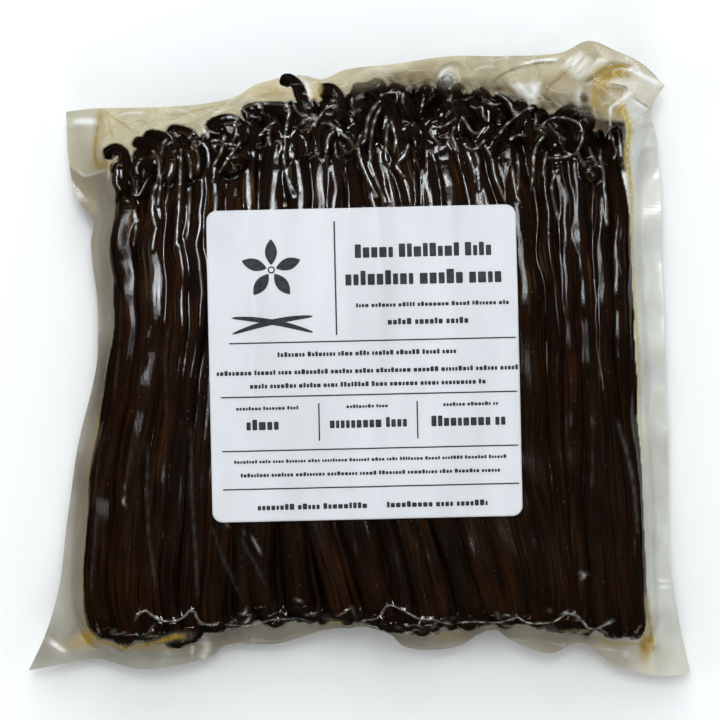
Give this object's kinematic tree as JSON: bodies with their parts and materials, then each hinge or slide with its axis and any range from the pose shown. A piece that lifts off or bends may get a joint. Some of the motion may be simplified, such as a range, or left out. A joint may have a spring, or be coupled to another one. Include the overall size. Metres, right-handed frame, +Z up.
{
  "type": "vacuum pack of vanilla pods",
  "caption": "Clear vacuum-sealed bag of vanilla pods lying flat, pods side by side under tight film, wavy sealed margin, folded top corner, square paper label.",
  "frame": {"origin": "middle of the pack's bounding box, on the surface it lies on", "axes": "+Z up, out of the labelled face; +Y towards the curled stem ends, which is the top of the label; +X to the right as the label is read"},
  "size_m": [0.2139, 0.2058, 0.0368],
  "materials": {
    "vanilla_pods": "very dark brown, supple, oily plant skin with fine lengthwise wrinkles",
    "clear_film": "clear, glossy multilayer vacuum film, milky and finely embossed where it is sealed to itself, with amber stains of vanilla oil",
    "label_paper": "smooth white self-adhesive paper, faint sheen",
    "label_print": "dark grey thermal print in plain bars, rules and a pod-and-flower drawing"
  },
  "bodies": {
    "root": {"sealed_bag": "vanilla_pods", "label": "label_paper"}
  },
  "joints": []
}
